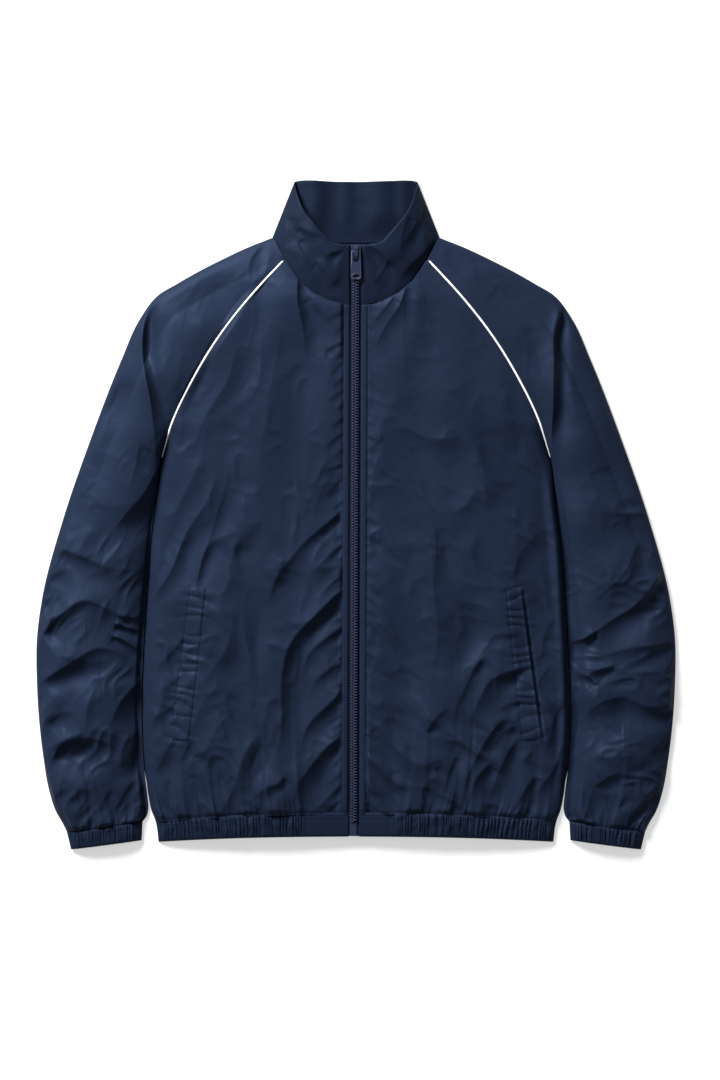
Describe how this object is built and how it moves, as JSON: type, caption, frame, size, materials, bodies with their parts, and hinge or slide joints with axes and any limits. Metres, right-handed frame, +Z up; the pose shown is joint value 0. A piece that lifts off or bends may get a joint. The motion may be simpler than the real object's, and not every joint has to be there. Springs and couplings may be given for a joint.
{
  "type": "windbreaker jacket",
  "caption": "Light windbreaker jacket, zipped and laid flat on its back: raglan sleeves, stand collar, welt pockets, gathered hem and cuffs, pale piping and a swinging zip pull.",
  "frame": {"origin": "middle of the garment's footprint, on the surface it lies on", "axes": "+X towards the wearer's left, +Y from the hem to the collar, +Z up from the surface, out of the wearer's front"},
  "size_m": [0.7656, 0.8022, 0.0357],
  "materials": {
    "shell": "navy woven nylon with a soft sheen",
    "band": "navy woven nylon gathered over elastic",
    "piping": "white woven cord",
    "zip_tape": "dark navy herringbone tape",
    "zip_teeth": "moulded navy plastic",
    "zip_metal": "navy enamel, worn bright at the rims"
  },
  "bodies": {
    "jacket": {"back": "shell", "front_right": "shell", "front_left": "shell", "sleeve_front_right": "shell", "sleeve_front_left": "shell", "sleeve_back_right": "shell", "sleeve_back_left": "shell", "collar": "shell", "hem_front_right": "band", "hem_front_left": "band", "hem_back": "band", "cuff_right": "band", "cuff_left": "band", "pocket_welt_right": "shell", "pocket_welt_left": "shell", "piping_right": "piping", "piping_left": "piping", "zip_tape_right": "zip_tape", "zip_tape_left": "zip_tape", "zip_chain": "zip_teeth", "zip_box": "zip_teeth", "zip_slider": "zip_metal"},
    "pull_tab": {"zip_pull": "zip_metal"}
  },
  "joints": [
    {"name": "pull_tab_hinge", "type": "hinge", "parent": "jacket", "child": "pull_tab", "pos_m": [-0.00003, 0.31375, 0.03219], "axis": [-1, 0, 0], "range_deg": [0, 170]}
  ]
}
